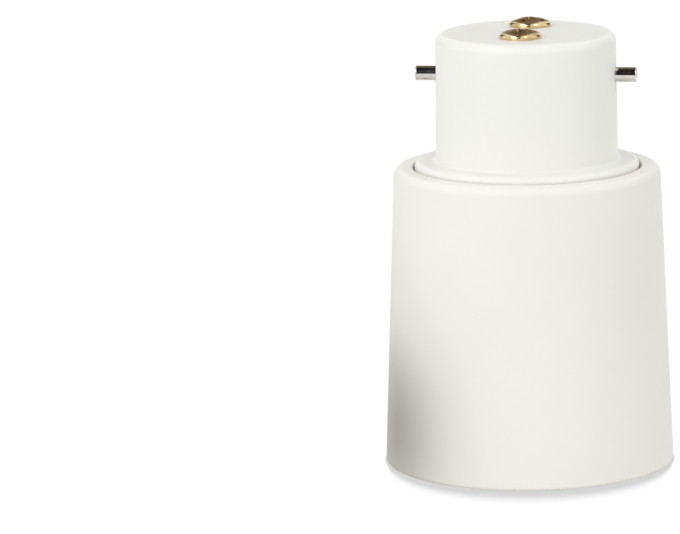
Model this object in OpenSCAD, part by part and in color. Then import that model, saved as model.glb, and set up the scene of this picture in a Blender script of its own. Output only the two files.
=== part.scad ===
// Lamp socket adapter: a two-pin bayonet cap on top, a screw lampholder in the mouth below.
//
// The adapter stands on its mouth. The origin is the centre of the mouth's rim, +Z runs
// up to the bayonet contacts, and the two bayonet pins lie along X. Two long screws pull
// the socket base and the bayonet cap together on the inward lip of the tapered housing.
// Two brass links carry the current from the contact screws down to the lampholder.

/* [Housing] */
// Gap between the rolled rim of the screw shell and the bore of the housing
shell_gap = 0.75; // [0.5:0.05:1.2]
// Wall of the housing at its mouth
mouth_wall = 2.65; // [2.2:0.05:3.4]
// Wall of the housing at its shoulder
shoulder_wall = 1.45; // [1.3:0.05:1.9]
// How much narrower the bore is at its inner end than at the mouth
bore_draft = 0.2; // [0.1:0.05:0.3]
// Rounding of the shoulder's outer edge
shoulder_round = 1.1; // [0.8:0.1:1.2]
// Rounding of both edges of the mouth's rim
mouth_round = 0.45; // [0.2:0.05:0.8]
// Thickness of the inward lip that the screws clamp
lip_t = 2.0; // [1.6:0.1:3]
// Depth of the round seat that the cap's flange sits in
seat_depth = 1.65; // [1.4:0.05:1.9]

/* [Bayonet cap] */
// Radius of the cap's barrel at its nose
nose_r = 10.95; // [10.8:0.01:11.05]
// Extra radius that the barrel's draft gives at its root
barrel_draft = 0.14; // [0.05:0.01:0.2]
// Length of the barrel from the flange to its end face
barrel_l = 15.6; // [15:0.05:18]
// Rounding of the barrel's end
nose_round = 1.7; // [0.8:0.05:1.8]
// Wall of the barrel
barrel_wall = 1.8; // [1.5:0.1:2]
// Thickness of the end wall that carries the contact screws
end_wall = 1.8; // [1.5:0.1:2.4]
// Thickness of the flange
flange_t = 2.4; // [2.1:0.1:2.7]
// Rounding of the flange's upper edge
flange_round = 0.7; // [0.4:0.1:0.9]
// How far the spigot under the flange is wider than the barrel
spigot_step = 1.3; // [1.2:0.05:1.5]
// Width of the flange's ring that bears on the lip
seat_w = 1.1; // [0.9:0.05:1.3]
// Gap between the flange and the side of its seat
flange_gap = 0.5; // [0.3:0.05:0.6]
// Height of the solid floor of the cap above the socket base
cap_floor = 5.0; // [4.8:0.1:6]

/* [Bayonet pins] */
// Radius of the exposed part of a pin
pin_r = 0.9; // [0.8:0.02:1]
// How far a pin stands out of the barrel
pin_out = 2.55; // [2.2:0.05:2.8]
// Distance from the end face down to the pins' axis
pin_drop = 5.15; // [5:0.05:5.8]
// Bevel of a pin's outer end
pin_bevel = 0.2; // [0.1:0.05:0.3]

/* [Bayonet contacts] */
// Distance from the axis to a contact screw, as a share of the barrel's radius
contact_share = 0.4475; // [0.43:0.0025:0.47]

/* [Screw shell] */
// Radius inside the crests of the rolled thread
thread_minor_r = 12.2; // [12.1:0.05:12.4]
// Depth of the rolled thread, from crest to root
thread_depth = 1.1; // [0.9:0.05:1.2]
// Pitch of the thread
thread_pitch = 3.629; // [3.2:0.01:4]
// Thickness of the brass sheet
sheet_t = 0.4; // [0.3:0.05:0.45]
// Depth of the shell's rim behind the mouth of the housing
shell_recess = 9.0; // [7:0.5:11]
// Length of the shell from its rim to the back of its floor
shell_l = 21.4; // [19:0.2:24]
// How far the rolled rim stands out from the collar
rim_flare = 0.55; // [0.3:0.05:0.7]
// Length of the plain collar between the rim and the thread
collar_l = 2.6; // [2:0.1:3.5]

/* [Socket base] */
// Thickness of the base's disc
base_t = 2.6; // [2.2:0.1:3.2]
// Gap between the base's edge and the bore of the housing
base_gap = 0.25; // [0.1:0.05:0.4]
// Width of the slot that holds the centre contact
slot_w = 6.5; // [6.3:0.1:6.8]
// Width of the stepped ledge on each side of the slot
ledge_step = 1.15; // [1:0.05:1.3]
// Depth of that ledge below the face of the insulating block
ledge_depth = 0.9; // [0.5:0.1:1.4]
// Width of the block on each side of the ledge
block_wall = 1.3; // [1.1:0.05:1.5]
// Height of the block above the disc
block_h = 4.4; // [4:0.1:5]
// Distance from the axis to the block's straight edge
block_reach = 6.1; // [5.9:0.05:6.3]
// Wall between the ledge's arch and the block's straight edge
arch_wall = 0.65; // [0.5:0.05:0.8]
// Wall between the slot's lower end and the block's round edge
slot_wall = 1.55; // [1.5:0.05:1.8]

/* [Centre contact] */
// Gap between the contact strip and each side of its slot
strip_gap = 0.3; // [0.2:0.05:0.5]
// Thickness of the contact strip
strip_t = 0.4; // [0.3:0.05:0.5]
// Height of the contact's crown above the disc of the base
crown_h = 5.1; // [4.6:0.1:5.8]

/* [Screws and nuts] */
// Radius of the screws' shanks
screw_r = 1.3; // [1.2:0.05:1.4]
// Radius of the screws' heads
head_r = 2.55; // [2.4:0.05:2.6]
// Height of the screws' domed heads
head_h = 1.1; // [1:0.05:1.5]
// Gap between the block's sides and the heads of the fixing screws
fixing_gap = 0.395; // [0.35:0.005:0.5]
// Angle of the line through the two fixing screws
fixing_angle = 20; // [18:1:24]
// Gap between the block's straight edge and the head of the shell's terminal screw
terminal_gap = 0.35; // [0.3:0.05:0.5]
// Width of the terminals' square nuts
nut_w = 5.0; // [4.6:0.1:5]
// Thickness of the square nuts
nut_t = 1.6; // [1.4:0.1:2]

/* [Links] */
// Width of a link
link_w = 5.0; // [4:0.1:5.2]
// Thickness of a link
link_t = 0.5; // [0.4:0.05:0.6]

/* [Hidden] */

// Roundness of the large and the small circles
$fn = 96;
small_fn = 40;
// Steps of a quarter turn in a sampled edge
round_steps = 7;
// How far a cut runs past the face that it opens
overrun = 0.5;
// Radial gap round a shank in its hole, and round the pressed pins
hole_gap = 0.06;
press_gap = 0.02;
// Locating gap between the spigot and the housing's lip
fit_gap = 0.15;

// Heights, from the mouth's rim upwards
floor_z = shell_recess + shell_l;
plate_z = floor_z - sheet_t;
lip_z = floor_z + base_t;
seat_z = lip_z + lip_t;
shoulder_z = seat_z + seat_depth;
flange_z = seat_z + flange_t;
end_z = flange_z + barrel_l;
wall_z = end_z - end_wall;
pin_z = end_z - pin_drop;
cavity_z = lip_z + cap_floor;

// Plan of the socket base, from the slot outwards to the screws beside its block
slot_r = slot_w / 2;
ledge_r = slot_r + ledge_step;
block_w = 2 * (ledge_r + block_wall);
slot_arch_y = block_reach - arch_wall - ledge_r;
fixing_r = (block_w / 2 + fixing_gap + head_r) / cos(fixing_angle);
terminal_y = block_reach + terminal_gap + head_r;

// Radii of the screw shell; its foot clears the heads of the screws
head_gap = 0.45;
foot_r = max(fixing_r, terminal_y) + head_r + head_gap;
thread_major_r = thread_minor_r + thread_depth;
collar_out_r = thread_major_r + sheet_t;
rim_out_r = collar_out_r + rim_flare;

// Radii of the bayonet cap; its spigot is wider than the barrel and than the terminals
pocket_gap = 0.25;
spigot_wall = 0.6;
root_round = 0.4;
root_r = nose_r + barrel_draft;
cavity_r = nose_r - barrel_wall;
terminal_reach = terminal_y + nut_w / 2 + pocket_gap;
spigot_r = max(root_r + spigot_step, terminal_reach + spigot_wall);
flange_r = spigot_r + seat_w;

// Radii of the housing round the shell and round the cap's flange
bore_r = rim_out_r + shell_gap;
bore_end_r = bore_r - bore_draft;
mouth_r = bore_r + mouth_wall;
lip_r = spigot_r + fit_gap;
seat_r = flange_r + flange_gap;
shoulder_r = max(bore_end_r + shoulder_wall, seat_r + fit_gap + shoulder_round);
housing_taper = atan((mouth_r - shoulder_r) / shoulder_z);

// The barrel is a true cylinder from just above the pins to its rounded end
land_share = 0.2;
nose_z = pin_z + (1 + land_share) * pin_r;

// Keys on the spigot and their keyways in the lip
key_w = 3.0;
key_h = 0.6;

// Bayonet pins: the pressed shank, its boss and how deep it goes
pin_step = 0.2;
pin_shank_r = pin_r + pin_step;
pin_reach = nose_r + pin_out;
pin_grip = 2.15;
pin_inner = cavity_r - pin_grip;
pin_proud = 0.03;
boss_r = 2.1;
boss_l = 2.75;
boss_reach = cavity_r - boss_l;

// Barrier between the two links
barrier_t = 1.2;
barrier_gap = 0.4;

// Screw lengths under the head, and how far a tip stands out of its nut
tip_proud = 0.35;
tip_gap = 0.15;
short_shank = sheet_t + base_t + link_t + nut_t + tip_proud;
contact_shank = end_wall + link_t + nut_t + tip_proud;
fixing_cover = 0.3;
fixing_hole_z = flange_z - fixing_cover;
fixing_shank = fixing_hole_z - plate_z - tip_gap;
tip_bevel = 0.35;
head_rim = 0.45;
// The cross recess of a screw head
recess_w = 0.75;
recess_r = 1.6;
recess_depth = 0.85;
recess_floor_r = 0.55;

// Places of the contacts and their nuts, and the pockets over the terminals
contact_y = nose_r * contact_share;
contact_nut_share = 0.455;
contact_nut_w = nose_r * contact_nut_share;
pocket_w = max(link_w, nut_w) + 2 * pocket_gap;
pocket_roof = lip_z + link_t + nut_t + tip_proud + 2 * pocket_gap;
link_gap_share = 0.31;
link_gap = nose_r * link_gap_share;
link_y = (link_gap + link_t) / 2;
link_bend = 0.4;

// The shell: lengths of its rolled rim and of its floor's upturned wall
rim_l = 0.9;
rim_lip_t = 0.35;
foot_wall_l = 2.0;
// How far a thread's end sinks into the plain ring that carries it
weave_l = 0.5;
weave_in = 0.09;
thread_segments = 40;
rows_per_pitch = 6;
run_out_share = 0.6;

// The socket base: its block ends short of the shell's wall
block_gap = 0.35;
block_r = min(thread_minor_r, foot_r) - block_gap;
block_round = 0.8;
cut_gap = 0.2;
slot_end_y = block_r - slot_wall;
slot_end_gap = 0.15;
slot_round = 1.4;

// The centre contact's side view, from its foot to its tip
strip_w = slot_w - 2 * strip_gap;
foot_margin = 0.1;
foot_back = head_r + foot_margin;
centre_screw_y = slot_end_y - slot_end_gap - foot_back;
fold_y = centre_screw_y - head_r - head_gap;
riser_run = 1.3;
riser_share = 0.5;
crown_y = 2.2;
tip_run = 1.1;
tip_drop = 0.45;
contact_bend = 0.7;

// Points of an arc about a centre, from one angle to another
function arc(centre, r, from, to, steps = round_steps) =
    [for (i = [0 : steps])
        let (a = from + (to - from) * i / steps)
        centre + r * [cos(a), sin(a)]];

// A value that rises smoothly from 0 to 1
function smooth(x) = let (t = min(1, max(0, x))) t * t * (3 - 2 * t);

function unit(v) = v / norm(v);
function turned(v) = [-v[1], v[0]];

// Centre line of a bent strip: points and normals, with an arc of radius r at each corner
function bend_points(a, b, c, r, steps) =
    let (u = unit(b - a), v = unit(c - b), side = sign(u[0] * v[1] - u[1] * v[0]))
    let (half = acos(u * v) / 2, start = b - u * r * tan(half))
    let (centre = start + turned(u) * r * side)
    [for (i = [0 : steps])
        let (w = side * 2 * half * i / steps)
        let (n = [[cos(w), -sin(w)], [sin(w), cos(w)]] * turned(u))
        [centre - n * r * side, n]];

function bent_line(path, r, steps = 5) =
    let (last = len(path) - 1)
    concat([[path[0], turned(unit(path[1] - path[0]))]],
        [for (i = [1 : last - 1]) each bend_points(path[i - 1], path[i], path[i + 1], r, steps)],
        [[path[last], turned(unit(path[last] - path[last - 1]))]]);

// A strip of sheet, bent along a path in the YZ plane and centred on X = 0
module bent_strip(path, r, t, w) {
    line = bent_line(path, r);
    outline = concat([for (p = line) p[0] + p[1] * t / 2],
        [for (i = [len(line) - 1 : -1 : 0]) line[i][0] - line[i][1] * t / 2]);
    rotate([90, 0, 90])
        translate([0, 0, -w / 2])
            linear_extrude(w)
                polygon(outline);
}

module hole(r, z, h) {
    translate([0, 0, z - overrun])
        cylinder(r = r, h = h + 2 * overrun, $fn = small_fn);
}

// A domed pan-head screw, its head's underside at z = 0 and its shank upwards
module pan_screw(shank) {
    dome_h = head_h - head_rim;
    dome_r = (head_r * head_r + dome_h * dome_h) / (2 * dome_h);
    difference() {
        union() {
            intersection() {
                translate([0, 0, -head_h])
                    cylinder(r = head_r, h = head_h, $fn = small_fn);
                translate([0, 0, dome_r - head_h])
                    sphere(r = dome_r);
            }
            cylinder(r = screw_r, h = shank - tip_bevel, $fn = small_fn);
            translate([0, 0, shank - tip_bevel])
                cylinder(r1 = screw_r, r2 = screw_r - tip_bevel, h = tip_bevel, $fn = small_fn);
        }
        cross_recess();
    }
}

// A cross of two wings that narrows to a small floor
module cross_recess() {
    intersection() {
        translate([0, 0, -head_h - overrun])
            linear_extrude(recess_depth + overrun)
                union() {
                    square([2 * recess_r, recess_w], center = true);
                    square([recess_w, 2 * recess_r], center = true);
                }
        translate([0, 0, -head_h])
            cylinder(r1 = recess_r, r2 = recess_floor_r, h = recess_depth, $fn = small_fn);
    }
}

module square_nut(width) {
    difference() {
        translate([-width / 2, -width / 2, 0])
            cube([width, width, nut_t]);
        hole(screw_r + press_gap, 0, nut_t);
    }
}

// The tapered white shell that is held in the hand, open at the mouth
module housing() {
    centre_r = shoulder_r - shoulder_round;
    profile = concat(
        arc([mouth_r - mouth_round, mouth_round], mouth_round, -90, 0),
        arc([centre_r, shoulder_z - shoulder_round], shoulder_round, housing_taper, 90),
        arc([seat_r + fit_gap, shoulder_z - fit_gap], fit_gap, 90, 180, 2),
        [[seat_r, seat_z], [lip_r, seat_z], [lip_r, lip_z], [bore_end_r, lip_z]],
        arc([bore_r + mouth_round, mouth_round], mouth_round, 180, 270));
    color("white")
        difference() {
            rotate_extrude()
                polygon(profile);
            for (side = [-1, 1])
                translate([side * lip_r, 0, lip_z + lip_t / 2])
                    cube([2 * (key_h + fit_gap), key_w + 2 * fit_gap, lip_t + 2 * fit_gap],
                        center = true);
        }
}

// The hollow two-pin cap with its flange, its spigot and the barrier between the links
module bayonet_cap() {
    outline = concat(
        [[0, lip_z], [spigot_r, lip_z], [spigot_r, seat_z], [flange_r, seat_z]],
        arc([flange_r - flange_round, flange_z - flange_round], flange_round, 0, 90),
        arc([root_r + root_round, flange_z + root_round], root_round, 270, 180, 3),
        [[nose_r, nose_z]],
        arc([nose_r - nose_round, end_z - nose_round], nose_round, 0, 90),
        [[0, end_z]]);
    color("white")
        difference() {
            union() {
                difference() {
                    rotate_extrude()
                        polygon(outline);
                    translate([0, 0, cavity_z])
                        cylinder(r = cavity_r, h = wall_z - cavity_z);
                }
                cap_keys();
                link_barrier();
                pin_bosses();
            }
            link_pockets();
            pin_holes();
            for (side = [-1, 1])
                translate([0, side * contact_y, 0])
                    hole(screw_r + hole_gap, wall_z, end_wall);
            for (turn = [0, 180])
                rotate([0, 0, fixing_angle + turn])
                    translate([fixing_r, 0, lip_z - overrun])
                        cylinder(r = screw_r + press_gap, h = fixing_hole_z - lip_z + overrun,
                            $fn = small_fn);
        }
}

module cap_keys() {
    for (side = [-1, 1])
        translate([side * (spigot_r - key_h), 0, lip_z + lip_t / 2])
            cube([4 * key_h, key_w, lip_t], center = true);
}

module link_barrier() {
    length = 2 * cavity_r + barrel_wall;
    translate([-length / 2, -barrier_t / 2, cavity_z - overrun])
        cube([length, barrier_t, wall_z - cavity_z + 2 * overrun]);
}

module pin_bosses() {
    for (turn = [0, 180])
        rotate([0, 0, turn])
            translate([boss_reach, 0, pin_z])
                rotate([0, 90, 0])
                    cylinder(r = boss_r, h = nose_r - barrel_wall / 2 - boss_reach, $fn = small_fn);
}

module pin_holes() {
    for (turn = [0, 180])
        rotate([0, 0, turn])
            translate([pin_inner, 0, pin_z])
                rotate([0, 90, 0])
                    cylinder(r = pin_shank_r + press_gap, h = nose_r, $fn = small_fn);
}

// Room in the cap's floor for each link's foot and nut, and the way up past it
module link_pockets() {
    inner = link_gap / 2 - barrier_gap;
    passage = contact_y + contact_nut_w / 2 + pocket_gap;
    for (place = [[-1, centre_screw_y], [1, terminal_y]]) {
        reach = place[1] + nut_w / 2 + pocket_gap;
        pocket(place[0], inner, reach, lip_z - overrun, pocket_roof);
        pocket(place[0], inner, passage, pocket_roof - overrun, cavity_z + overrun);
    }
}

module pocket(side, inner, outer, bottom, top) {
    mirror([0, side < 0 ? 1 : 0, 0])
        translate([-pocket_w / 2, inner, bottom])
            cube([pocket_w, outer - inner, top - bottom]);
}

// A steel pin: a shank pressed into its boss and a plain end outside the barrel
module bayonet_pin() {
    shank_end = nose_r + barrel_draft * (nose_z - pin_z) / (nose_z - flange_z) + pin_proud;
    outline = [[0, pin_inner], [pin_shank_r, pin_inner], [pin_shank_r, shank_end],
        [pin_r, shank_end], [pin_r, pin_reach - pin_bevel], [pin_r - pin_bevel, pin_reach],
        [0, pin_reach]];
    color("gainsboro")
        translate([0, 0, pin_z])
            rotate([0, 90, 0])
                rotate_extrude($fn = small_fn)
                    polygon(outline);
}

module bayonet_pin_left() {
    rotate([0, 0, 180])
        bayonet_pin();
}

module bayonet_pin_right() {
    bayonet_pin();
}

module contact_screw(side) {
    color("goldenrod")
        translate([0, side * contact_y, end_z])
            rotate([180, 0, 0])
                pan_screw(contact_shank);
}

module contact_screw_front() {
    contact_screw(-1);
}

module contact_screw_rear() {
    contact_screw(1);
}

module contact_nut(side) {
    color("darkkhaki")
        translate([0, side * contact_y, wall_z - link_t - nut_t])
            square_nut(contact_nut_w);
}

module contact_nut_front() {
    contact_nut(-1);
}

module contact_nut_rear() {
    contact_nut(1);
}

// A brass strip from a contact screw's tab, down the cavity, to a terminal's tab
module link(side, foot_y) {
    foot_z = lip_z + link_t / 2;
    head_z = wall_z - link_t / 2;
    path = [[side * (foot_y + nut_w / 2), foot_z], [side * link_y, foot_z],
        [side * link_y, head_z], [side * (contact_y + contact_nut_w / 2), head_z]];
    color("peru")
        difference() {
            bent_strip(path, link_bend, link_t, link_w);
            translate([0, side * foot_y, 0])
                hole(screw_r + hole_gap, lip_z, link_t);
            translate([0, side * contact_y, 0])
                hole(screw_r + hole_gap, wall_z - link_t, link_t);
        }
}

module live_link() {
    link(-1, centre_screw_y);
}

module neutral_link() {
    link(1, terminal_y);
}

// Plan of the insulating block, or of the cut in the shell's floor round it
module block_plan(gap) {
    width = block_w + 2 * gap;
    top = block_reach + gap;
    corner = block_round + gap;
    intersection() {
        circle(r = block_r + gap);
        union() {
            translate([-width / 2, -2 * block_r])
                square([width, 2 * block_r + top - corner]);
            translate([corner - width / 2, 0])
                square([width - 2 * corner, top]);
            for (side = [-1, 1])
                translate([side * (width / 2 - corner), top - corner])
                    circle(r = corner, $fn = small_fn);
        }
    }
}

// Plan of the slot for the centre contact, closed at its lower end
module slot_plan() {
    low = slot_end_y - slot_round;
    union() {
        translate([0, slot_arch_y])
            circle(r = slot_r, $fn = small_fn);
        translate([-slot_r, -low])
            square([slot_w, low + slot_arch_y]);
        translate([slot_round - slot_r, -slot_end_y])
            square([slot_w - 2 * slot_round, slot_end_y]);
        for (side = [-1, 1])
            translate([side * (slot_r - slot_round), -low])
                circle(r = slot_round, $fn = small_fn);
    }
}

// Plan of the ledge: an arch that runs out at the block's lower end
module ledge_plan() {
    union() {
        translate([0, slot_arch_y])
            circle(r = ledge_r, $fn = small_fn);
        translate([-ledge_r, -2 * block_r])
            square([2 * ledge_r, 2 * block_r + slot_arch_y]);
    }
}

// The insulating disc and block that carry the shell and the centre contact
module socket_base() {
    base_r = bore_end_r - base_gap;
    face_z = floor_z - block_h;
    color("gainsboro")
        difference() {
            union() {
                translate([0, 0, floor_z])
                    cylinder(r = base_r, h = base_t);
                translate([0, 0, face_z])
                    linear_extrude(block_h + base_t / 2)
                        block_plan(0);
            }
            translate([0, 0, face_z - overrun])
                linear_extrude(ledge_depth + overrun)
                    ledge_plan();
            translate([0, 0, face_z - overrun])
                linear_extrude(block_h + overrun)
                    slot_plan();
            terminal_holes(floor_z, base_t, screw_r + hole_gap);
            fixing_holes(floor_z, base_t, screw_r + hole_gap);
        }
}

module terminal_holes(z, h, r) {
    translate([0, -centre_screw_y, 0])
        hole(r, z, h);
    translate([0, terminal_y, 0])
        hole(r, z, h);
}

module fixing_holes(z, h, r) {
    for (turn = [0, 180])
        rotate([0, 0, fixing_angle + turn])
            translate([fixing_r, 0, 0])
                hole(r, z, h);
}

// Radius inside the rolled thread at a height and an angle, fading out at both ends
function thread_r(z, a, low, high) =
    let (wave = (1 + cos(360 * z / thread_pitch - a)) / 2)
    let (run_out = run_out_share * thread_pitch)
    let (to_collar = 1 - smooth((z - low) / run_out), to_foot = smooth((high - z) / run_out))
    foot_r + (thread_minor_r - foot_r) * to_foot
        + thread_depth * (to_collar + (1 - to_collar) * wave * to_foot);

// The rolled right-hand thread, a thin wavy wall whose ends sink into plain rings
module rolled_thread(low, high) {
    rows = ceil((high - low) / thread_pitch * rows_per_pitch);
    heights = [for (i = [0 : rows]) low + (high - low) * i / rows];
    levels = concat([low - weave_l], heights, [high + weave_l]);
    count = len(levels);
    n = thread_segments;
    wall = sheet_t - 2 * weave_in;
    points = [for (side = [0, 1]) for (z = levels) for (k = [0 : n - 1])
        let (a = 360 * k / n, r = thread_r(z, a, low, high) + weave_in + side * wall)
        [r * cos(a), r * sin(a), z]];
    function id(side, i, k) = side * count * n + i * n + k % n;
    function quad(a, b, c, d) = [[a, b, c], [a, c, d]];
    inside = [for (i = [0 : count - 2]) for (k = [0 : n - 1])
        each quad(id(0, i, k + 1), id(0, i + 1, k + 1), id(0, i + 1, k), id(0, i, k))];
    outside = [for (i = [0 : count - 2]) for (k = [0 : n - 1])
        each quad(id(1, i, k), id(1, i + 1, k), id(1, i + 1, k + 1), id(1, i, k + 1))];
    bottom = [for (k = [0 : n - 1])
        each quad(id(0, 0, k), id(1, 0, k), id(1, 0, k + 1), id(0, 0, k + 1))];
    top = [for (k = [0 : n - 1], i = count - 1)
        each quad(id(0, i, k), id(0, i, k + 1), id(1, i, k + 1), id(1, i, k))];
    polyhedron(points, concat(inside, outside, bottom, top));
}

// The drawn brass cup: rolled rim, plain collar, thread, and a floor cut out for the block
module screw_shell() {
    collar_z = shell_recess + rim_l;
    thread_z = collar_z + collar_l;
    foot_z = floor_z - foot_wall_l;
    foot_out_r = foot_r + sheet_t;
    collar = [[thread_major_r, collar_z], [thread_major_r + rim_flare, shell_recess + rim_lip_t / 2],
        [rim_out_r - rim_lip_t / 2, shell_recess], [rim_out_r, shell_recess + rim_lip_t],
        [collar_out_r, collar_z + rim_lip_t], [collar_out_r, thread_z], [thread_major_r, thread_z]];
    foot = [[foot_r, foot_z], [foot_out_r, foot_z], [foot_out_r, floor_z - sheet_t / 2],
        [foot_out_r - sheet_t / 2, floor_z], [0, floor_z], [0, plate_z],
        [foot_r - sheet_t / 2, plate_z], [foot_r, plate_z - sheet_t / 2]];
    color("gold")
        difference() {
            union() {
                rotate_extrude()
                    polygon(collar);
                rolled_thread(thread_z, foot_z);
                rotate_extrude()
                    polygon(foot);
            }
            translate([0, 0, plate_z - overrun])
                linear_extrude(sheet_t + 2 * overrun)
                    block_plan(cut_gap);
            translate([0, terminal_y, 0])
                hole(screw_r + hole_gap, plate_z, sheet_t);
            fixing_holes(plate_z, sheet_t, screw_r + hole_gap);
        }
}

// The leaf spring: a foot under its screw, a riser, and a tongue that crowns on the axis
module centre_contact() {
    foot_z = floor_z - strip_t / 2;
    crown_z = floor_z - crown_h + strip_t / 2;
    riser_z = foot_z - riser_share * (foot_z - crown_z);
    path = [[-centre_screw_y - foot_back, foot_z], [-fold_y, foot_z],
        [riser_run - fold_y, riser_z], [crown_y, crown_z], [crown_y + tip_run, crown_z + tip_drop]];
    color("orange")
        difference() {
            intersection() {
                bent_strip(path, contact_bend, strip_t, strip_w);
                translate([0, 0, floor_z - 2 * crown_h])
                    linear_extrude(3 * crown_h)
                        tongue_plan(crown_y + tip_run);
            }
            translate([0, -centre_screw_y, 0])
                hole(screw_r + hole_gap, floor_z - strip_t, strip_t);
        }
}

// Plan of the contact strip: square foot with rounded corners, half-round tip
module tongue_plan(tip_y) {
    half = strip_w / 2;
    back = centre_screw_y + foot_back;
    union() {
        translate([0, tip_y - half])
            circle(r = half, $fn = small_fn);
        translate([-half, slot_round - back])
            square([strip_w, back - slot_round + tip_y - half]);
        translate([slot_round - half, -back])
            square([strip_w - 2 * slot_round, back]);
        for (side = [-1, 1])
            translate([side * (half - slot_round), slot_round - back])
                circle(r = slot_round, $fn = small_fn);
    }
}

module centre_contact_screw() {
    color("darkgoldenrod")
        translate([0, -centre_screw_y, floor_z - strip_t])
            pan_screw(short_shank);
}

module centre_contact_nut() {
    color("darkkhaki")
        translate([0, -centre_screw_y, lip_z + link_t])
            square_nut(nut_w);
}

module shell_terminal_screw() {
    color("darkgoldenrod")
        translate([0, terminal_y, plate_z])
            pan_screw(short_shank);
}

module shell_terminal_nut() {
    color("darkkhaki")
        translate([0, terminal_y, lip_z + link_t])
            square_nut(nut_w);
}

module fixing_screw() {
    color("darkgoldenrod")
        rotate([0, 0, fixing_angle])
            translate([fixing_r, 0, plate_z])
                pan_screw(fixing_shank);
}

module shell_fixing_screw_left() {
    rotate([0, 0, 180])
        fixing_screw();
}

module shell_fixing_screw_right() {
    fixing_screw();
}

housing();
bayonet_cap();
bayonet_pin_left();
bayonet_pin_right();
contact_screw_front();
contact_screw_rear();
contact_nut_front();
contact_nut_rear();
live_link();
neutral_link();
socket_base();
screw_shell();
centre_contact();
centre_contact_screw();
centre_contact_nut();
shell_terminal_screw();
shell_terminal_nut();
shell_fixing_screw_left();
shell_fixing_screw_right();
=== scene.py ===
import math

import bmesh
import bpy
from mathutils import Matrix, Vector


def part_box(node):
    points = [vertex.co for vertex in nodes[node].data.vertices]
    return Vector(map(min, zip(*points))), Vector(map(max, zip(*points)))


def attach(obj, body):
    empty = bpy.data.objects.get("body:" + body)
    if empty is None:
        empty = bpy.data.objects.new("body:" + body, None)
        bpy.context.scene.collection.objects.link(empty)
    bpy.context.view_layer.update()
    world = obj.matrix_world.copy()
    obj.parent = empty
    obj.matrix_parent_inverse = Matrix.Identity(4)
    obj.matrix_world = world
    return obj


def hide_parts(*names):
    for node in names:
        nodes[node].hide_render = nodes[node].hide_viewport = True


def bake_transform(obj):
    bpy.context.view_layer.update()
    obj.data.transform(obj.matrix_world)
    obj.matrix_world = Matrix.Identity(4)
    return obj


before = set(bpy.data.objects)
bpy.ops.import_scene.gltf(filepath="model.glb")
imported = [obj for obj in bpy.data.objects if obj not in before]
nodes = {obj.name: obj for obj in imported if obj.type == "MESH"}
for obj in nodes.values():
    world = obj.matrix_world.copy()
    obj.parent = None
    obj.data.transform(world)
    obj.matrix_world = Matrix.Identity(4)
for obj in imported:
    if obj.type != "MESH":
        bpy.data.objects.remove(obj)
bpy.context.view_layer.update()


# ---------------------------------------------------------------- housing
# The housing is one tapered tube of satin white plastic, pressed in a mould and warm in tone.
# It stands on its mouth, and the lip near its top is what the two long screws clamp.

housing_white = (0.915, 0.898, 0.842, 1)
housing_shade = (0.895, 0.878, 0.812, 1)
speck_grey = (0.62, 0.61, 0.58, 1)
rim_scuff = (0.74, 0.735, 0.70, 1)


def fill(tree, socket, value):
    """Gives one socket its value, or a link where the value is another node's output."""
    if isinstance(value, bpy.types.NodeSocket):
        tree.links.new(value, socket)
    else:
        socket.default_value = value


def connect(tree, made, **sockets):
    """Sets a node's sockets by their names."""
    for name, value in sockets.items():
        fill(tree, made.inputs[name.replace("_", " ")], value)


def place(tree, kind, **sockets):
    """Adds a shader node with its sockets set."""
    made = tree.nodes.new("ShaderNode" + kind)
    connect(tree, made, **sockets)
    return made


def sums(tree, operation, first, second):
    """One step of arithmetic on the values of two sockets or numbers."""
    made = tree.nodes.new("ShaderNodeMath")
    made.operation = operation
    for socket, value in zip(made.inputs, (first, second)):
        fill(tree, socket, value)
    return made.outputs["Value"]


def blotches(tree, size, detail=2.0, stretch=(1, 1, 1)):
    """Noise over the piece itself, in blotches of about that size."""
    at = place(tree, "TexCoord").outputs["Object"]
    at = place(tree, "Mapping", Vector=at, Scale=stretch).outputs["Vector"]
    return place(tree, "TexNoise", Vector=at, Scale=1 / size, Detail=detail).outputs["Fac"]


def ramp(tree, value, start, end, low=0.0, high=1.0):
    """Turns a run of values from start to end into one from low to high."""
    made = place(tree, "MapRange", Value=value, From_Min=start, From_Max=end, To_Min=low,
                 To_Max=high)
    return made.outputs["Result"]


def tint(tree, value, *stops):
    """A colour that runs through the stops, each a value and its colour."""
    made = place(tree, "ValToRGB", Fac=value)
    elements = made.color_ramp.elements
    elements[0].position, elements[0].color = stops[0]
    elements[1].position, elements[1].color = stops[-1]
    for position, colour in stops[1:-1]:
        elements.new(position).color = colour
    return made.outputs["Color"]


def over(tree, share, under, top):
    """Lays a colour over another where the share is high."""
    made = tree.nodes.new("ShaderNodeMix")
    made.data_type = "RGBA"
    for socket, value in ((0, share), (6, under), (7, top)):
        fill(tree, made.inputs[socket], value)
    return made.outputs[2]


def relief(tree, height, depth, on=None):
    """Raises the surface by the height times the depth, over another relief if given."""
    made = place(tree, "Bump", Height=height, Distance=depth, Strength=1.0)
    if on:
        tree.links.new(on, made.inputs["Normal"])
    return made.outputs["Normal"]


def new_finish(name, **sockets):
    """A new material: itself, its node tree and its shader."""
    material = bpy.data.materials.new(name)
    material.use_nodes = True
    tree = material.node_tree
    shader = tree.nodes["Principled BSDF"]
    connect(tree, shader, **sockets)
    return material, tree, shader


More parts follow.
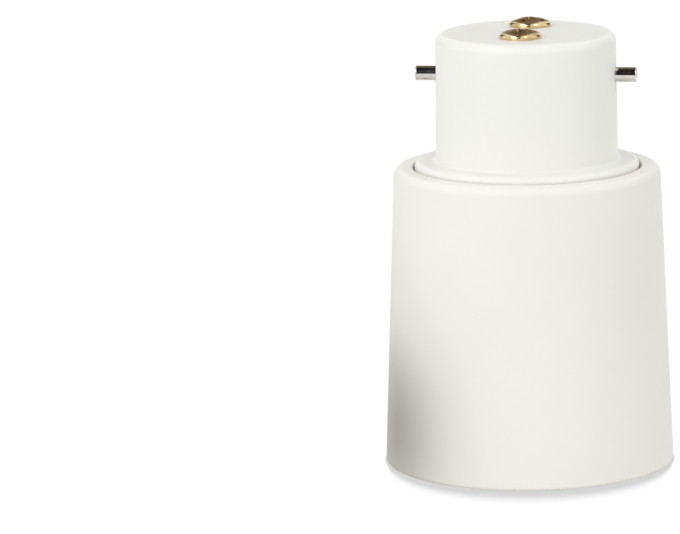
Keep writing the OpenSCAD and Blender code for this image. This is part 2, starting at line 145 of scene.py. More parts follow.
def moulded_white(name, white, shade, dull):
    """Satin moulded plastic: slow clouds of tone, a rare speck, soft flow marks and fine grain."""
    material, tree, shader = new_finish(name, IOR=1.5, Specular_IOR_Level=0.35,
                                        Subsurface_Weight=0.3, Subsurface_Scale=0.0007,
                                        Subsurface_Radius=(1, 1, 1))
    colour = tint(tree, blotches(tree, 0.016), (0.35, shade), (0.65, white))
    at = place(tree, "TexCoord").outputs["Object"]
    cells = place(tree, "TexVoronoi", Vector=at, Scale=170)
    near = sums(tree, "LESS_THAN", cells.outputs["Distance"], 0.035)
    rare = sums(tree, "LESS_THAN", cells.outputs["Color"], 0.22)
    colour = over(tree, sums(tree, "MULTIPLY", near, rare), colour, speck_grey)
    height = place(tree, "SeparateXYZ", Vector=at).outputs["Z"]
    rim = ramp(tree, height, 0.0007, 0.0, 0.0, 0.35)
    scuffs = ramp(tree, blotches(tree, 0.0009, 5), 0.6, 0.75)
    colour = over(tree, sums(tree, "MULTIPLY", rim, scuffs), colour, rim_scuff)
    flow = relief(tree, blotches(tree, 0.0045, 1), 0.00006)
    grain = relief(tree, blotches(tree, 0.00022, 3), 0.000005, flow)
    gloss = ramp(tree, blotches(tree, 0.003, 3), 0.3, 0.7, dull - 0.05, dull + 0.05)
    connect(tree, shader, Base_Color=colour, Roughness=gloss, Normal=grain)
    return material


def dress(name, material):
    """Gives a node of the part its finish."""
    for holder in nodes[name].material_slots:
        holder.material = material


dress("housing", moulded_white("satin_white_plastic", housing_white, housing_shade, 0.45))


# ---------------------------------------------------------------- bayonet cap
# The cap is a second moulding, a little cooler and smoother than the housing. Its flange sits
# in the round seat of the housing, and its hollow barrel carries pins and contacts. This copy
# of the node has a tighter edge on its nose, a wider flange and a fuller fillet at its root.

cap_white = (0.915, 0.912, 0.868, 1)
cap_shade = (0.895, 0.892, 0.845, 1)
hair = 0.00001
nose_r = 0.01095
nose_round = 0.0017
nose_tight = 0.0012
nose_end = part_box("bayonet_cap")[1].z
flange_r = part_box("bayonet_cap")[1].x
flange_round = 0.0007
flange_growth = 0.00015
flange_top = 0.0374
root_r = 0.01109
root_round = 0.0004
root_wide = 0.0007


def alone():
    """Leaves nothing selected, so that the next step acts on its own piece."""
    if bpy.context.object and bpy.context.object.mode != "OBJECT":
        bpy.ops.object.mode_set(mode="OBJECT")
    bpy.ops.object.select_all(action="DESELECT")


def own_copy(node, name):
    """A copy of a node as a piece of its own, its triangles merged into whole faces."""
    piece = nodes[node].copy()
    piece.data = nodes[node].data.copy()
    bpy.context.collection.objects.link(piece)
    piece.name = name
    for key in [key for key in piece.keys() if key.startswith("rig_")]:
        del piece[key]
    piece.parent = None
    alone()
    piece.select_set(True)
    bpy.context.view_layer.objects.active = piece
    bpy.ops.mesh.customdata_custom_splitnormals_clear()
    bpy.ops.object.mode_set(mode="EDIT")
    bpy.ops.mesh.select_all(action="SELECT")
    bpy.ops.mesh.remove_doubles(threshold=hair / 10)
    bpy.ops.mesh.dissolve_limited(angle_limit=math.radians(1))
    bpy.ops.object.mode_set(mode="OBJECT")
    return piece


def smooth(piece, degrees=35):
    """Shades a piece smooth, apart from edges sharper than the angle."""
    alone()
    piece.select_set(True)
    bpy.context.view_layer.objects.active = piece
    bpy.ops.object.shade_smooth_by_angle(angle=math.radians(degrees))


def apply_modifier(piece, kind, **settings):
    """Adds a modifier with its settings and applies it."""
    alone()
    piece.select_set(True)
    bpy.context.view_layer.objects.active = piece
    modifier = piece.modifiers.new(kind.lower(), kind)
    for name, value in settings.items():
        setattr(modifier, name, value)
    bpy.ops.object.modifier_apply(modifier=modifier.name)


def seat(piece, material, finish, *replaced):
    """Gives a finished piece its material, its body and the nodes that it stands for."""
    piece.data.materials.clear()
    piece.data.materials.append(material)
    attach(piece, "adapter")
    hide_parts(*replaced)


cap = own_copy("bayonet_cap", "moulded_cap")
for vertex in cap.data.vertices:
    r, z = math.hypot(vertex.co.x, vertex.co.y), vertex.co.z
    if r > nose_r - nose_round - hair and z > nose_end - nose_round - hair:
        new_r = nose_r + (r - nose_r) * nose_tight / nose_round
        new_z = nose_end + (z - nose_end) * nose_tight / nose_round
    elif r > flange_r - flange_round - hair:
        new_r, new_z = r + flange_growth, z
    elif (-hair < r - root_r < root_round + hair
          and -hair < z - flange_top < root_round + hair):
        new_r = root_r + (r - root_r) * root_wide / root_round
        new_z = flange_top + (z - flange_top) * root_wide / root_round
    else:
        continue
    vertex.co = (vertex.co.x * new_r / r, vertex.co.y * new_r / r, new_z)
smooth(cap, 30)
apply_modifier(cap, "WEIGHTED_NORMAL", keep_sharp=True)
seat(cap, moulded_white("cap_white_plastic", cap_white, cap_shade, 0.4), "cap_plastic",
     "bayonet_cap")


# ---------------------------------------------------------------- bayonet pins
# Two pins turned from steel rod and plated with nickel, each with a thicker shank that is
# pressed into a boss inside the barrel. Only the plain, bevelled end shows.

pin_r = 0.0009
pin_shank_r = 0.0011
pin_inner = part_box("bayonet_pin_right")[0].x
pin_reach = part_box("bayonet_pin_right")[1].x
pin_z = (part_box("bayonet_pin_right")[0].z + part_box("bayonet_pin_right")[1].z) / 2
pin_shoulder = 0.01102
pin_bevel = 0.00013
nickel_bright = (0.76, 0.735, 0.705, 1)
nickel_dark = (0.62, 0.59, 0.56, 1)


def turned_piece(name, rings, sides):
    """A solid turned about Z: a disc drawn out ring by ring, each a radius and a height."""
    alone()
    bpy.ops.mesh.primitive_circle_add(vertices=sides, radius=rings[0][0], fill_type="NGON",
                                      location=(0, 0, rings[0][1]))
    bpy.ops.object.mode_set(mode="EDIT")
    bpy.ops.mesh.select_all(action="SELECT")
    for (r, z), (next_r, next_z) in zip(rings, rings[1:]):
        bpy.ops.mesh.extrude_region_move(TRANSFORM_OT_translate={"value": (0, 0, next_z - z)})
        bpy.ops.transform.resize(value=(next_r / r, next_r / r, 1), center_override=(0, 0, next_z))
    bpy.ops.mesh.select_all(action="SELECT")
    bpy.ops.mesh.normals_make_consistent(inside=False)
    bpy.ops.object.mode_set(mode="OBJECT")
    bpy.ops.object.transform_apply(location=True, rotation=True, scale=True)
    bpy.context.object.name = name
    return bpy.context.object


def worn_metal(name, bright, dark, patch, polish, dull, marks, stretch):
    """Bare metal: patches of tarnish, uneven polish, and tool marks drawn out one way."""
    material, tree, shader = new_finish(name, Metallic=1.0)
    colour = tint(tree, blotches(tree, patch, 3), (0.38, dark), (0.6, bright))
    gloss = ramp(tree, blotches(tree, patch / 3, 4), 0.3, 0.7, polish, dull)
    lines = relief(tree, blotches(tree, 0.00008, 3, stretch), marks)
    connect(tree, shader, Base_Color=colour, Roughness=gloss, Normal=lines)
    return material


def arc(centre_r, centre_z, r, start, end, steps):
    """Rings of a rounded edge, from one angle to another in degrees."""
    angles = [math.radians(start + (end - start) * i / steps) for i in range(steps + 1)]
    return [(centre_r + r * math.cos(a), centre_z + r * math.sin(a)) for a in angles]


nickel = worn_metal("nickel_plate", nickel_bright, nickel_dark, 0.0012, 0.07, 0.14, 0.0000006,
                    (1, 0.05, 0.05))
pin_rings = [(pin_shank_r - pin_bevel, pin_inner), (pin_shank_r, pin_inner + pin_bevel),
             (pin_shank_r, pin_shoulder), (pin_r, pin_shoulder),
             (pin_r, pin_reach - 1.3 * pin_bevel)]
pin_rings += arc(pin_r - pin_bevel, pin_reach - pin_bevel, pin_bevel, 0, 80, 4)
for side, turn in (("right", 90), ("left", -90)):
    pin = turned_piece("plated_pin_" + side, pin_rings, 48)
    pin.data.transform(Matrix.Translation((0, 0, pin_z))
                       @ Matrix.Rotation(math.radians(turn), 4, "Y"))
    smooth(pin)
    seat(pin, nickel, "nickel_steel", "bayonet_pin_" + side)


# ---------------------------------------------------------------- contact screws
# Two pressed brass pan-head screws stand on the end face and touch the lampholder's springs.
# Each has a dull cross recess, painted dark brown as the shade inside it, and a plain turned shank.

head_r = 0.00255
head_h = 0.0011
head_shoulder = 0.00045
dome_r = 0.0062
shank_r = 0.0013
tip_bevel = 0.00035
master_shank = 0.00425
wing_w = 0.00095
wing_r = 0.0026
wing_floor_r = 0.0007
wing_depth = 0.00085
socket_r = 0.00095
socket_floor_r = 0.0004
recess_edge = 0.00005
brass_bright = (0.82, 0.66, 0.38, 1)
brass_dark = (0.57, 0.43, 0.22, 1)
# These two browns are painted shade inside the cross recess, not the brass's own colour.
cross_shade_brown = (0.20, 0.125, 0.05, 1)
cross_shade_gold = (0.42, 0.29, 0.12, 1)


def selected(kind, test):
    """Selects, in edit mode, the vertices, edges or faces that pass the test."""
    bpy.ops.mesh.select_mode(type=kind)
    bpy.ops.mesh.select_all(action="DESELECT")
    mesh = bmesh.from_edit_mesh(bpy.context.object.data)
    for part in {"VERT": mesh.verts, "EDGE": mesh.edges, "FACE": mesh.faces}[kind]:
        part.select_set(test(part))
    mesh.select_flush_mode()
    bmesh.update_edit_mesh(bpy.context.object.data)


def cut(piece, tool, **settings):
    """Cuts the tool's shape out of the piece and does away with the tool."""
    apply_modifier(piece, "BOOLEAN", object=tool, operation="DIFFERENCE", **settings)
    bpy.data.objects.remove(tool)


def wing(turn, material):
    """The punch that presses one bar of the cross, narrower and shorter at its floor."""
    alone()
    height = wing_depth + head_h / 5
    slope = (wing_r - wing_floor_r) / wing_depth
    top_r = wing_floor_r + slope * height
    floor_z = head_h - wing_depth
    bpy.ops.mesh.primitive_cube_add(size=1, location=(0, 0, floor_z + height / 2),
                                    scale=(2 * top_r, wing_w, height))
    bpy.ops.object.transform_apply(location=True, rotation=True, scale=True)
    bpy.ops.object.mode_set(mode="EDIT")
    selected("FACE", lambda face: face.normal.z < -0.9)
    bpy.ops.transform.resize(value=(wing_floor_r / top_r, 0.7, 1), center_override=(0, 0, floor_z))
    bpy.ops.mesh.select_all(action="SELECT")
    bpy.ops.object.mode_set(mode="OBJECT")
    punch = bpy.context.object
    punch.data.transform(Matrix.Rotation(math.radians(turn), 4, "Z"))
    punch.data.materials.append(material)
    return punch


def socket_punch(material):
    """The punch that widens the middle of the cross, a blunt cone."""
    alone()
    height = wing_depth + head_h / 5
    bpy.ops.mesh.primitive_cone_add(vertices=16, radius1=socket_floor_r, radius2=socket_r,
                                    depth=height, location=(0, 0, head_h - wing_depth + height / 2))
    bpy.ops.object.transform_apply(location=True)
    punch = bpy.context.object
    punch.data.materials.append(material)
    return punch


def pan_head_screw(name, metal, recess):
    """The screw that all six are copied from: its head up, the head's underside at zero."""
    dome_lean = math.acos((head_r - head_shoulder) / (dome_r - head_shoulder))
    shoulder_z = head_h - dome_r + (dome_r - head_shoulder) * math.sin(dome_lean)
    dome_lean = math.degrees(dome_lean)
    rings = [(shank_r - tip_bevel, -master_shank), (shank_r, tip_bevel - master_shank),
             (shank_r, 0)]
    rings += arc(head_r - recess_edge, recess_edge, recess_edge, -90, 0, 3)
    rings += arc(head_r - head_shoulder, shoulder_z, head_shoulder, 0, dome_lean, 8)
    rings += arc(0, head_h - dome_r, dome_r, dome_lean + 1.5, 89, 10)
    screw = turned_piece(name, rings, 64)
    screw.data.materials.append(metal)
    # Each punch hands its material to the faces that it cuts, so the recess gets its painted shade.
    for punch in (wing(0, recess), wing(90, recess), socket_punch(recess)):
        cut(screw, punch, solver="EXACT", material_mode="TRANSFER")
    apply_modifier(screw, "BEVEL", width=recess_edge, segments=2, limit_method="ANGLE",
                   angle_limit=math.radians(38))
    return screw


def fit_screw(name, node, metal, recess, x, y, z, turn, shank, upright):
    """A copy of the screw, with its own shank and finish, turned and set in its place."""
    screw = screw_master.copy()
    screw.data = screw_master.data.copy()
    bpy.context.collection.objects.link(screw)
    screw.name = name
    for vertex in screw.data.vertices:
        if vertex.co.z < -master_shank / 2:
            vertex.co.z -= shank - master_shank
    screw.data.transform(Matrix.Translation((x, y, z))
                         @ Matrix.Rotation(0 if upright else math.pi, 4, "X")
                         @ Matrix.Rotation(math.radians(turn), 4, "Z"))
    screw.data.materials[0] = metal
    screw.data.materials[1] = recess
    smooth(screw)
    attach(screw, "adapter")
    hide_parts(node)


contact_brass = worn_metal("contact_brass", brass_bright, brass_dark, 0.0016, 0.16, 0.25,
                           0.0000003, (1, 1, 1))
# The recess finish paints the shade inside the cross, much darker than the brass head.
contact_cross_shade = worn_metal("contact_cross_shade", cross_shade_gold, cross_shade_brown, 0.0006, 0.35, 0.55,
                            0.000006, (1, 1, 1))
screw_master = pan_head_screw("screw_master", contact_brass, contact_cross_shade)
for node, turn in (("contact_screw_front", 85), ("contact_screw_rear", 66)):
    y = (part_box(node)[0].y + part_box(node)[1].y) / 2
    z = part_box(node)[1].z - head_h
    fit_screw("brass_" + node, node, contact_brass, contact_cross_shade, 0, y, z, turn,
              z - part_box(node)[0].z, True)


# ---------------------------------------------------------------- links and nuts
# Strips of brass, blanked and bent, carry the current down inside the barrel, and square
# brass nuts sawn from bar hold them. None of them shows from outside.

link_bright = (0.80, 0.62, 0.32, 1)
link_dark = (0.62, 0.45, 0.20, 1)
nut_bright = (0.76, 0.62, 0.34, 1)
nut_dark = (0.58, 0.45, 0.22, 1)

link_brass = worn_metal("link_brass", link_bright, link_dark, 0.002, 0.22, 0.36, 0.000003,
                        (1, 0.06, 0.06))
nut_brass = worn_metal("nut_brass", nut_bright, nut_dark, 0.0015, 0.28, 0.42, 0.000005,
                       (0.06, 1, 1))
for node in ("live_link", "neutral_link"):
    dress(node, link_brass)
for node in ("contact_nut_front", "contact_nut_rear", "centre_contact_nut", "shell_terminal_nut"):
    dress(node, nut_brass)


# ---------------------------------------------------------------- socket base
# A disc with a raised block, moulded in grey-beige insulating plastic with softened edges.
# The block stands through the brass shell's floor, and its arched slot holds the contact.

base_light = (0.66, 0.575, 0.475, 1)
base_dark = (0.58, 0.50, 0.41, 1)
base_edge = 0.0003
block_step_z = 0.0272

insulator, tree, shader = new_finish("insulating_plastic", IOR=1.5, Specular_IOR_Level=0.3)
connect(tree, shader,
        Base_Color=tint(tree, blotches(tree, 0.004, 5), (0.35, base_dark), (0.65, base_light)),
        Roughness=ramp(tree, blotches(tree, 0.0015, 3), 0.3, 0.7, 0.55, 0.72),
        Normal=relief(tree, blotches(tree, 0.00018, 3), 0.000012))


def softened(node, name, edge, highest):
    """A copy of a node with its moulded edges rounded, up to a height."""
    piece = own_copy(node, name)
    bpy.ops.object.mode_set(mode="EDIT")
    selected("EDGE", lambda seam: seam.is_convex and seam.calc_face_angle(0) > math.radians(40)
             and all(vertex.co.z < highest for vertex in seam.verts))
    bpy.ops.mesh.bevel(offset=edge, segments=4)
    bpy.ops.object.mode_set(mode="OBJECT")
    smooth(piece, 30)
    return piece


seat(softened("socket_base", "insulating_base", base_edge, block_step_z), insulator,
     "insulator_plastic", "socket_base")


# ---------------------------------------------------------------- screw shell
# The shell is a cup drawn from thin brass sheet, with its thread rolled into the wall and its
# rim turned out. Its floor is blanked out for the block and pierced for the screws.

thread_minor_r = 0.0122
thread_depth = 0.0011
thread_pitch = 0.003629
run_out_share = 0.6
sheet_t = 0.0004
rim_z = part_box("screw_shell")[0].z
floor_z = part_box("screw_shell")[1].z
rim_l = 0.0009
rim_flare = 0.00055
collar_l = 0.0026
foot_wall_l = 0.002
foot_round = 0.0004
collar_r = thread_minor_r + thread_depth
collar_z = rim_z + rim_l
thread_z = collar_z + collar_l
foot_z = floor_z - foot_wall_l
plate_z = floor_z - sheet_t
wall_rows = 110
wall_sides = 144
block_half_w = 0.0057
block_reach = 0.0061
block_r = 0.01185
block_gap = 0.0002
block_round = 0.001
hole_r = 0.00136
fixing_r = 0.0092
fixing_turn = math.radians(20)
terminal_y = 0.009
shell_gold = (0.90, 0.68, 0.27, 1)
shell_amber = (0.74, 0.47, 0.13, 1)
plate_gold = (0.83, 0.61, 0.20, 1)
plate_olive = (0.40, 0.30, 0.08, 1)


def eased(x):
    """Rises smoothly from 0 to 1."""
    x = min(1, max(0, x))
    return x * x * (3 - 2 * x)


def rolled_r(z, angle):
    """Radius inside the wall after rolling: a right-hand thread that fades out at both ends."""
    wave = (1 + math.cos(2 * math.pi * z / thread_pitch - angle)) / 2
    run_out = run_out_share * thread_pitch
    to_collar = 1 - eased((z - thread_z) / run_out)
    to_foot = eased((foot_z - z) / run_out)
    return thread_minor_r + thread_depth * (to_collar + (1 - to_collar) * wave * to_foot)


def blanking_punch():
    """The outline of the block, a little larger, as a prism through the shell's floor."""
    alone()
    bpy.ops.mesh.primitive_cylinder_add(vertices=96, radius=block_r + block_gap, depth=4 * sheet_t,
                                        location=(0, 0, plate_z))
    punch = bpy.context.object
    bpy.ops.object.transform_apply(location=True)
    bpy.ops.object.mode_set(mode="EDIT")
    for side, normal in ((block_half_w + block_gap, (1, 0, 0)),
                         (-block_half_w - block_gap, (-1, 0, 0)),
                         (block_reach + block_gap, (0, 1, 0))):
        bpy.ops.mesh.select_all(action="SELECT")
        bpy.ops.mesh.bisect(plane_co=[side * abs(n) for n in normal], plane_no=normal,
                            use_fill=True, clear_outer=True)
    selected("EDGE", lambda edge: all(v.co.y > block_reach and abs(v.co.x) > block_half_w
                                      for v in edge.verts))
    bpy.ops.mesh.bevel(offset=block_round, segments=8)
    bpy.ops.mesh.select_all(action="SELECT")
    bpy.ops.mesh.normals_make_consistent(inside=False)
    bpy.ops.object.mode_set(mode="OBJECT")
    return punch


def hole_punch(x, y):
    """A round punch through the shell's floor."""
    alone()
    bpy.ops.mesh.primitive_cylinder_add(vertices=40, radius=hole_r, depth=4 * sheet_t,
                                        location=(x, y, plate_z))
    bpy.ops.object.transform_apply(location=True)
    return bpy.context.object


rolled_brass = worn_metal("rolled_brass", shell_gold, shell_amber, 0.004, 0.14, 0.26, 0.000003,
                          (0.03, 0.03, 1))
plate_brass = worn_metal("plate_brass", plate_gold, plate_olive, 0.0035, 0.2, 0.42, 0.000004,
                         (0.05, 1, 1))

alone()
bpy.ops.mesh.primitive_cylinder_add(vertices=wall_sides, radius=collar_r, depth=foot_z - thread_z,
                                    end_fill_type="NOTHING",
                                    location=(0, 0, (foot_z + thread_z) / 2))
shell = bpy.context.object
shell.name = "rolled_brass_shell"
bpy.ops.object.transform_apply(location=True)
bpy.ops.object.mode_set(mode="EDIT")
selected("EDGE", lambda edge: abs(edge.verts[0].co.z - edge.verts[1].co.z) > sheet_t)
bpy.ops.mesh.subdivide(number_cuts=wall_rows)
wall = bmesh.from_edit_mesh(shell.data)
for vertex in wall.verts:
    z = vertex.co.z
    r = rolled_r(z, math.atan2(vertex.co.y, vertex.co.x))
    vertex.co.x *= r / collar_r
    vertex.co.y *= r / collar_r
bmesh.update_edit_mesh(shell.data)
selected("VERT", lambda vertex: vertex.co.z < thread_z + sheet_t / 8)
low_rings = [(collar_r, collar_z)]
low_rings += [(collar_r + rim_flare * share * share, collar_z - (rim_l - sheet_t / 2) * share)
              for share in (0.25, 0.5, 0.75, 1)]
low_rings += [(collar_r + rim_flare + sheet_t / 2, rim_z + sheet_t / 8)]
r, z = collar_r, thread_z
for next_r, next_z in low_rings:
    bpy.ops.mesh.extrude_region_move(TRANSFORM_OT_translate={"value": (0, 0, next_z - z)})
    bpy.ops.transform.resize(value=(next_r / r, next_r / r, 1), center_override=(0, 0, next_z))
    r, z = next_r, next_z
selected("VERT", lambda vertex: vertex.co.z > foot_z - sheet_t / 8)
high_rings = [(thread_minor_r, plate_z - foot_round)]
high_rings += arc(thread_minor_r - foot_round, plate_z - foot_round, foot_round, 22, 90, 4)
r, z = thread_minor_r, foot_z
for next_r, next_z in high_rings:
    bpy.ops.mesh.extrude_region_move(TRANSFORM_OT_translate={"value": (0, 0, next_z - z)})
    bpy.ops.transform.resize(value=(next_r / r, next_r / r, 1), center_override=(0, 0, next_z))
    r, z = next_r, next_z
bpy.ops.mesh.edge_face_add()
bpy.ops.mesh.select_all(action="SELECT")
bpy.ops.mesh.normals_make_consistent(inside=False)
bpy.ops.object.mode_set(mode="OBJECT")
apply_modifier(shell, "SOLIDIFY", thickness=sheet_t, offset=1, use_even_offset=True)
cut(shell, blanking_punch(), solver="MANIFOLD")
cut(shell, hole_punch(0, terminal_y), solver="MANIFOLD")
for side in (1, -1):
    cut(shell, hole_punch(side * fixing_r * math.cos(fixing_turn),
                          side * fixing_r * math.sin(fixing_turn)), solver="MANIFOLD")
smooth(shell, 40)
seat(shell, rolled_brass, "drawn_brass", "screw_shell")
shell.data.materials.append(plate_brass)
for face in shell.data.polygons:
    face.material_index = 1 if face.center.z > plate_z - sheet_t / 4 else 0


# ---------------------------------------------------------------- centre contact
# A strip of spring bronze, blanked with a round tip and bent twice. Its foot is screwed down
# in the slot, and its tongue rises to press on the middle of the lamp's cap. Its colour runs
# from pale at the foot to orange with brown blotches along the tongue, paler towards the tip.

strip_w = 0.0059
strip_t = 0.0004
strip_corner = 0.0014
strip_camber = 0.00012
strip_bend = 0.0007
strip_foot_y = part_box("centre_contact")[0].y
strip_tip_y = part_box("centre_contact")[1].y
strip_foot_z = floor_z - strip_t / 2
crown_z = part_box("centre_contact")[0].z + strip_t / 2
fold_y = -0.0045
riser_run = 0.0013
crown_y = 0.0022
tip_drop = 0.00045
centre_screw_y = -0.0075
strip_rows = 96
strip_columns = 12
bronze_pale = (0.82, 0.62, 0.30, 1)
bronze_orange = (0.82, 0.46, 0.12, 1)
bronze_brown = (0.45, 0.20, 0.05, 1)


def bent_line(points, bend, count):
    """Evenly spaced points along a folded line, each corner eased over the bend's radius."""
    lengths = [math.dist(a, b) for a, b in zip(points, points[1:])]
    total = sum(lengths)

    def on_line(distance):
        distance = min(total, max(0, distance))
        for (a, b), length in zip(zip(points, points[1:]), lengths):
            if distance <= length:
                return [p + (q - p) * distance / length for p, q in zip(a, b)]
            distance -= length
        return list(points[-1])

    line = []
    for i in range(count + 1):
        middle = total * i / count
        near = [on_line(middle + bend * step / 4) for step in range(-4, 5)]
        if bend < middle < total - bend:
            line.append([sum(p[k] for p in near) / len(near) for k in (0, 1)])
        else:
            line.append(on_line(middle))
    return line


def strip_half_w(y):
    """Half the strip's width: rounded corners at its foot and a half-round tip."""
    half = strip_w / 2
    if y > strip_tip_y - half:
        return math.sqrt(max(0.0, half ** 2 - (y - strip_tip_y + half) ** 2))
    if y < strip_foot_y + strip_corner:
        rise = math.sqrt(max(0.0, strip_corner ** 2 - (strip_foot_y + strip_corner - y) ** 2))
        return half - strip_corner + rise
    return half


bronze, tree, shader = new_finish("spring_bronze", Metallic=1.0)
at = place(tree, "TexCoord").outputs["Object"]
along = place(tree, "SeparateXYZ", Vector=at).outputs["Y"]
warmth = sums(tree, "ADD", ramp(tree, along, -0.0048, -0.0035),
              ramp(tree, along, 0.0012, 0.0032, 0, -0.3))
warmth = sums(tree, "ADD", warmth, ramp(tree, blotches(tree, 0.0022, 4), 0.3, 0.7, -0.25, 0.2))
connect(tree, shader,
        Base_Color=tint(tree, warmth, (0.2, bronze_pale), (0.75, bronze_orange),
                        (1.0, bronze_brown)),
        Roughness=ramp(tree, blotches(tree, 0.001, 4), 0.3, 0.7, 0.12, 0.24),
        Normal=relief(tree, blotches(tree, 0.00008, 3, (1, 0.05, 1)), 0.000002))

strip_line = bent_line([(strip_foot_y, strip_foot_z), (fold_y, strip_foot_z),
                        (fold_y + riser_run, (strip_foot_z + crown_z) / 2), (crown_y, crown_z),
                        (strip_tip_y, crown_z + tip_drop)], strip_bend, strip_rows)
alone()
bpy.ops.mesh.primitive_grid_add(x_subdivisions=strip_columns, y_subdivisions=strip_rows, size=2)
spring = bpy.context.object
spring.name = "leaf_spring"
for vertex in spring.data.vertices:
    across = vertex.co.x
    y, z = strip_line[round((vertex.co.y + 1) / 2 * strip_rows)]
    tongue = eased((y - fold_y - riser_run) / riser_run)
    vertex.co = (across * strip_half_w(y), y, z + strip_camber * tongue * across ** 2)
alone()
spring.select_set(True)
bpy.context.view_layer.objects.active = spring
bpy.ops.object.mode_set(mode="EDIT")
bpy.ops.mesh.select_all(action="SELECT")
bpy.ops.mesh.remove_doubles(threshold=hair / 5)
bpy.ops.mesh.normals_make_consistent(inside=False)
bpy.ops.object.mode_set(mode="OBJECT")
apply_modifier(spring, "SOLIDIFY", thickness=strip_t, offset=0)
alone()
bpy.ops.mesh.primitive_cylinder_add(vertices=40, radius=hole_r, depth=4 * strip_t,
                                    location=(0, centre_screw_y, strip_foot_z))
bpy.ops.object.transform_apply(location=True)
cut(spring, bpy.context.object, solver="MANIFOLD")
apply_modifier(spring, "BEVEL", width=strip_t / 8, segments=2, limit_method="ANGLE",
               angle_limit=math.radians(50))
smooth(spring, 40)
spring.data.materials.clear()
spring.data.materials.append(bronze)
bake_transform(spring)
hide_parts("centre_contact")


# ---------------------------------------------------------------- inner screws
# Four coppered pan-head screws hold the contact, the shell's terminal and the shell itself.
# They are the contact screws' pattern with other shanks, and painted dark in the cross recess as
# its shade.

copper_bright = (0.66, 0.36, 0.20, 1)
copper_dark = (0.34, 0.15, 0.07, 1)
# These two are painted shade for the cross recess: a dark copper and a near black.
copper_cross_shade_light = (0.30, 0.15, 0.075, 1)
copper_cross_shade_dark = (0.07, 0.032, 0.018, 1)

coppered = worn_metal("coppered_steel", copper_bright, copper_dark, 0.0014, 0.14, 0.28, 0.000002,
                      (1, 1, 1))
# The recess finish paints the shade inside the cross, darker than the coppered head.
copper_cross_shade = worn_metal("coppered_cross_shade", copper_cross_shade_light, copper_cross_shade_dark, 0.0005, 0.2, 0.4,
                           0.000006, (1, 1, 1))
for node, turn in (("centre_contact_screw", 15), ("shell_terminal_screw", 32),
                   ("shell_fixing_screw_left", 50), ("shell_fixing_screw_right", 5)):
    low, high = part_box(node)
    head_z = low.z + head_h
    fit_screw("coppered_" + node, node, coppered, copper_cross_shade,
              (low.x + high.x) / 2, (low.y + high.y) / 2, head_z, turn, high.z - head_z, False)
bpy.data.objects.remove(screw_master)


# ---------------------------------------------------------------- floor, lights and camera
# A white paper floor, open under the mouth so that light gets in there too, soft boxes, and
# dark cards over the camera and at both sides, which the bright metal shows as dark bands.

floor_r = 3.0
mouth_gap_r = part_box("housing")[1].x - 0.00035
floor_paper = (0.80, 0.80, 0.80, 1)
shadow_reach = 0.0089
shadow_least = 0.0004
shadow_turn = math.radians(7)
shadow_taper = 2
shadow_deep = 0.66
paper_white = 1.02
closed_sky = 0.68
clear_sky = 0.93
world_light = 0.84
image_px = 680
focal_px = 5000.1
camera_far = 0.600
camera_high = 0.14307
camera_turn = math.radians(7)
camera_down = math.radians(11.2)
camera_aside = math.radians(2.194)
camera_roll = math.radians(1.0)


def seen_rays(tree):
    """One for the rays from the camera and from gloss, and none for those that carry light."""
    rays = place(tree, "LightPath").outputs
    seen = sums(tree, "MAXIMUM", rays["Is Camera Ray"], rays["Is Transmission Ray"])
    return sums(tree, "MAXIMUM", seen, rays["Is Glossy Ray"])


paper, tree, shader = new_finish("white_paper", Base_Color=floor_paper, Roughness=1.0,
                                 Specular_IOR_Level=0.0)
# Painted shadow: to the camera the paper is a glow, dimmed where ambient occlusion finds the
# housing near, and reaching furthest towards the front.
at = place(tree, "TexCoord").outputs["Object"]
at = place(tree, "Mapping", Vector=at, Rotation=(0, 0, -shadow_turn)).outputs["Vector"]
outwards = place(tree, "VectorMath", Vector=at)
outwards.operation = "NORMALIZE"
forwards = place(tree, "SeparateXYZ", Vector=outwards.outputs["Vector"]).outputs["Y"]
nearness = ramp(tree, forwards, 0.0, -1.0)
reach = sums(tree, "MULTIPLY", sums(tree, "POWER", nearness, shadow_taper), shadow_reach)
reach = sums(tree, "MAXIMUM", reach, shadow_least)
open_sky = place(tree, "AmbientOcclusion", Distance=reach).outputs["AO"]
white = place(tree, "Emission", Color=(1, 1, 1, 1),
              Strength=ramp(tree, open_sky, closed_sky, clear_sky, shadow_deep, paper_white))
lit = place(tree, "MixShader", Fac=seen_rays(tree))
clear = place(tree, "BsdfTransparent")
sides = place(tree, "MixShader", Fac=place(tree, "NewGeometry").outputs["Backfacing"])
tree.links.new(shader.outputs["BSDF"], lit.inputs[1])
tree.links.new(white.outputs["Emission"], lit.inputs[2])
tree.links.new(lit.outputs["Shader"], sides.inputs[1])
tree.links.new(clear.outputs["BSDF"], sides.inputs[2])
tree.links.new(sides.outputs["Shader"], tree.nodes["Material Output"].inputs["Surface"])
alone()
bpy.ops.mesh.primitive_circle_add(vertices=96, radius=mouth_gap_r)
bpy.ops.object.mode_set(mode="EDIT")
bpy.ops.mesh.select_all(action="SELECT")
bpy.ops.mesh.extrude_region_move()
bpy.ops.transform.resize(value=(floor_r / mouth_gap_r, floor_r / mouth_gap_r, 1),
                         center_override=(0, 0, 0))
bpy.ops.mesh.select_all(action="SELECT")
bpy.ops.mesh.flip_normals()
bpy.ops.object.mode_set(mode="OBJECT")
floor = bpy.context.object
floor.name = "paper_floor"
floor.data.materials.append(paper)

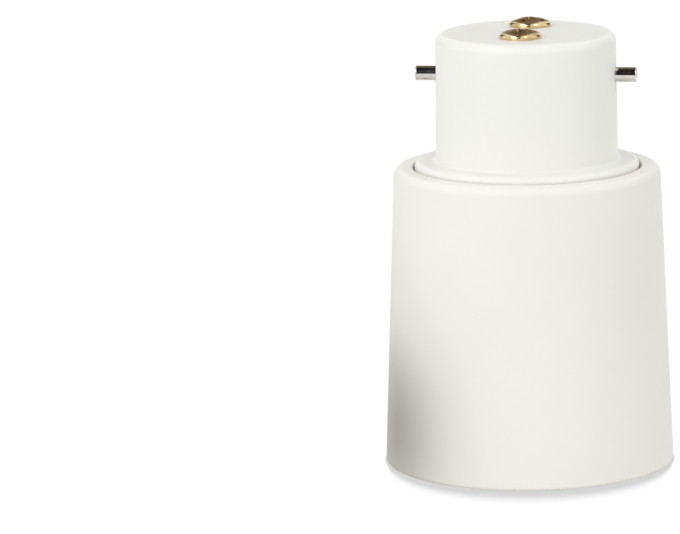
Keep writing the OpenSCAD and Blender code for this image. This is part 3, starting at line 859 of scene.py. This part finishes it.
card_front = (0.02, 0.02, 0.02, 1)
card_back = (0.225, 0.185, 0.135, 1)
card_back_y = 0.4
card_black, tree, shader = new_finish("black_card", Roughness=1.0, Specular_IOR_Level=0.0)
at = place(tree, "TexCoord").outputs["Object"]
back = ramp(tree, place(tree, "SeparateXYZ", Vector=at).outputs["Y"], 0.0, card_back_y)
connect(tree, shader, Base_Color=tint(tree, back, (0.0, card_front), (1.0, card_back)))
card_r = 1.2
card_half_w = 0.24
card_aside = -0.146
card_low = 0.0
card_high = math.radians(165)
card_rows = 15
alone()
bpy.ops.mesh.primitive_plane_add(size=2)
card = bpy.context.object
card.name = "dark_gap"
bpy.ops.object.mode_set(mode="EDIT")
bpy.ops.mesh.select_all(action="SELECT")
bpy.ops.mesh.subdivide(number_cuts=card_rows)
bpy.ops.object.mode_set(mode="OBJECT")
for vertex in card.data.vertices:
    lift = card_low + (card_high - card_low) * (vertex.co.y + 1) / 2
    vertex.co = (card_aside + vertex.co.x * card_half_w, -card_r * math.cos(lift),
                 card_r * math.sin(lift))
card.data.materials.append(card_black)
card.visible_camera = False
card.visible_diffuse = False
card.visible_shadow = False

side_brown = (0.17, 0.155, 0.13, 1)
side_card_x = 1.0
side_card_y = 0.95
side_card_l = 2.5
side_card_h = 1.0
side_dark = new_finish("side_card", Base_Color=side_brown, Roughness=1.0,
                       Specular_IOR_Level=0.0)[0]
for name, x in (("left_side_card", -side_card_x), ("right_side_card", side_card_x)):
    alone()
    bpy.ops.mesh.primitive_plane_add(size=1, location=(x, side_card_y, side_card_h / 2),
                                     scale=(side_card_h, side_card_l, 1),
                                     rotation=(0, math.pi / 2, 0))
    bpy.ops.object.transform_apply(location=True, rotation=True, scale=True)
    side = bpy.context.object
    side.name = name
    side.data.materials.append(side_dark)
    side.visible_camera = False
    side.visible_diffuse = False
    side.visible_shadow = False

low_card_grey = (0.12, 0.105, 0.08, 1)
low_card_at = (-0.0296, -0.0017, 0.00675)
low_card_size = (0.0501, 0.0004, 0.0135)
low_card_turn = math.radians(123.4)
alone()
bpy.ops.mesh.primitive_cube_add(size=1, location=low_card_at, scale=low_card_size,
                                rotation=(0, 0, low_card_turn))
bpy.ops.object.transform_apply(location=True, rotation=True, scale=True)
low_card = bpy.context.object
low_card.name = "low_card"
low_card.data.materials.append(new_finish("grey_card", Base_Color=low_card_grey, Roughness=1.0,
                                          Specular_IOR_Level=0.0)[0])
low_card.visible_camera = False
low_card.visible_shadow = False

for name, x, y, z, wide, power in (("left_box", -0.42, -0.78, 0.5, 0.4, 1.85),
                                   ("right_box", 0.85, 0.1, 0.5, 0.5, 0.3),
                                   ("front_box", 0.02, -0.98, 0.3, 0.5, 0.25),
                                   ("top_box", -0.05, -0.2, 0.95, 0.6, 0.3),
                                   ("left_glint_box", -0.42, -0.40, 0.80, 0.25, 1.3),
                                   ("right_glint_box", 0.45, -0.52, 0.73, 0.2, 0.8)):
    light = bpy.data.lights.new(name, "AREA")
    light.size = wide
    light.energy = power
    lamp = bpy.data.objects.new(name, light)
    lamp.location = (x, y, z)
    lamp.rotation_euler = (-lamp.location).to_track_quat("-Z", "Y").to_euler()
    lamp.visible_glossy = name not in ("front_box", "top_box")
    lamp.visible_diffuse = "glint" not in name
    bpy.context.scene.collection.objects.link(lamp)

world = bpy.data.worlds.new("white_room")
world.use_nodes = True
bpy.context.scene.world = world
tree = world.node_tree
connect(tree, tree.nodes["Background"], Color=(1, 1, 1, 1),
        Strength=ramp(tree, seen_rays(tree), 0.0, 1.0, world_light, 1.0))

camera = bpy.data.objects.new("camera", bpy.data.cameras.new("camera"))
camera.data.sensor_width = 36
camera.data.lens = focal_px / image_px * camera.data.sensor_width
camera.data.clip_start = 0.01
camera.matrix_world = (
    Matrix.Translation((camera_far * math.sin(camera_turn), -camera_far * math.cos(camera_turn),
                        camera_high))
    @ Matrix.Rotation(camera_turn + camera_aside, 4, "Z")
    @ Matrix.Rotation(math.pi / 2 - camera_down, 4, "X")
    @ Matrix.Rotation(-camera_roll, 4, "Z"))
bpy.context.scene.collection.objects.link(camera)
bpy.context.scene.camera = camera
bpy.context.scene.view_settings.view_transform = "Standard"
